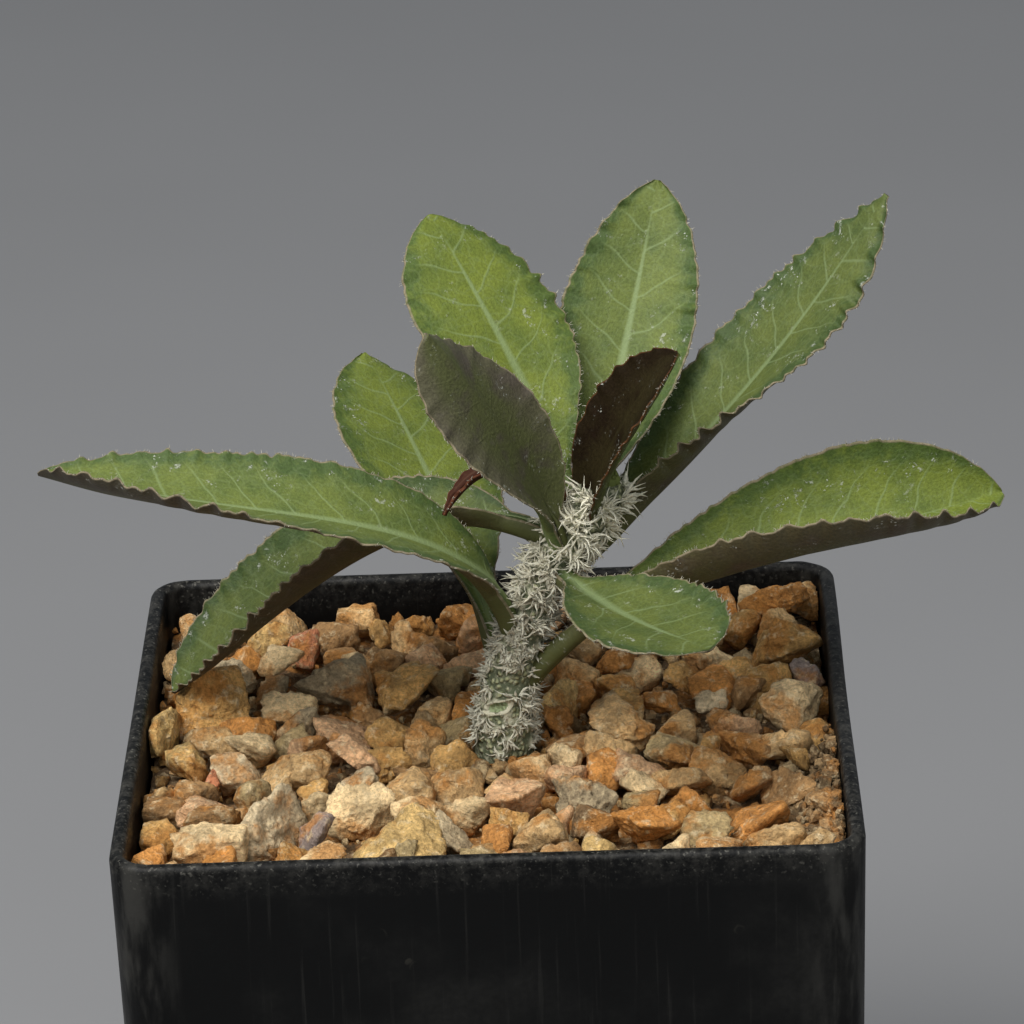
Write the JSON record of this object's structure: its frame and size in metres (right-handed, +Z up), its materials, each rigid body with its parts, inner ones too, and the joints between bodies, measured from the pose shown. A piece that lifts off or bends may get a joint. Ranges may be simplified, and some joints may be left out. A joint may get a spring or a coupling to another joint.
{
  "type": "potted euphorbia",
  "caption": "Small leafy succulent spurge with a bristly leaning stem and wavy-edged leaves, growing in gravel-topped mix in a square black nursery pot.",
  "frame": {"origin": "middle of the pot's underside, on the surface it stands on", "axes": "+Z up, -Y towards the front of the plant, +X to the right, the way the stem leans"},
  "size_m": [0.0921, 0.07, 0.1243],
  "materials": {
    "pot_plastic": "matte",
    "potting_mix": "matte",
    "gravel": "matte",
    "stem_bark": "matte",
    "leaf_skin": "satin",
    "young_leaf_skin": "satin"
  },
  "bodies": {
    "root": {"pot": "pot_plastic", "potting_mix": "potting_mix", "gravel_topping": "gravel", "stem": "stem_bark", "leaf_long_left": "leaf_skin", "leaf_arched_left": "leaf_skin", "leaf_back_left": "leaf_skin", "leaf_front": "leaf_skin", "leaf_back_middle": "leaf_skin", "leaf_back_right": "leaf_skin", "leaf_upper_right": "leaf_skin", "leaf_far_right": "leaf_skin", "leaf_low_front": "leaf_skin", "leaf_young_right": "young_leaf_skin", "leaf_young_curl": "young_leaf_skin"}
  },
  "joints": []
}
